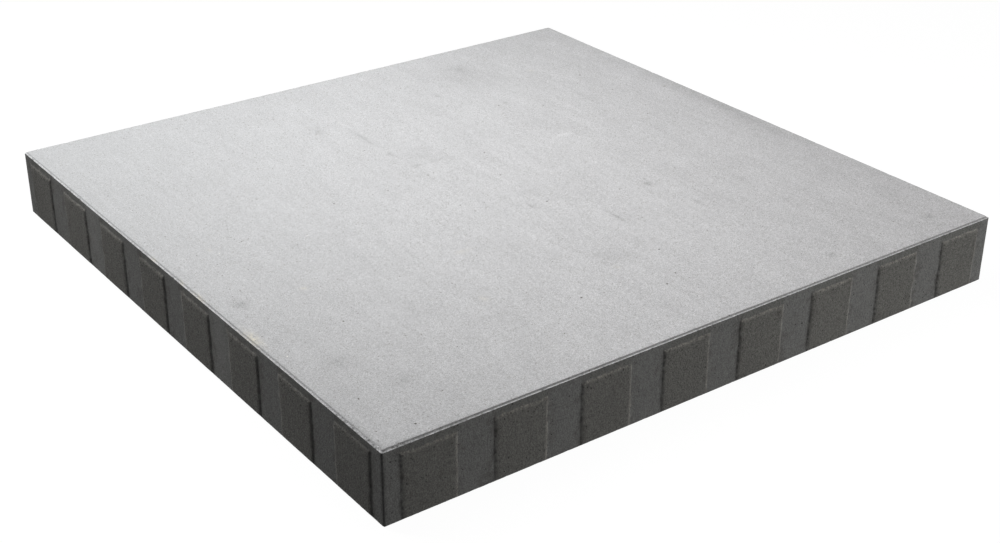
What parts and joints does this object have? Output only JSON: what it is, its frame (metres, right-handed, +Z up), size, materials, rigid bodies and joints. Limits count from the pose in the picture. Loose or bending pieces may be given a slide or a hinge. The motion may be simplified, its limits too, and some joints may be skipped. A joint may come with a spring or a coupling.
{
  "type": "concrete paving slab",
  "caption": "Square heavy-duty concrete paving slab with a raised, narrow-rimmed walking face and shallow spacer nibs down all four sides",
  "frame": {"origin": "the middle of the underside, where the slab rests on its bed", "axes": "+Z is up through the thickness, from the underside to the walking face; X and Y run along the slab's sides"},
  "size_m": [0.8, 0.8, 0.08],
  "materials": {
    "concrete": "matt, fine sandy grain"
  },
  "bodies": {
    "root": {"paving_slab": "concrete"}
  },
  "joints": []
}
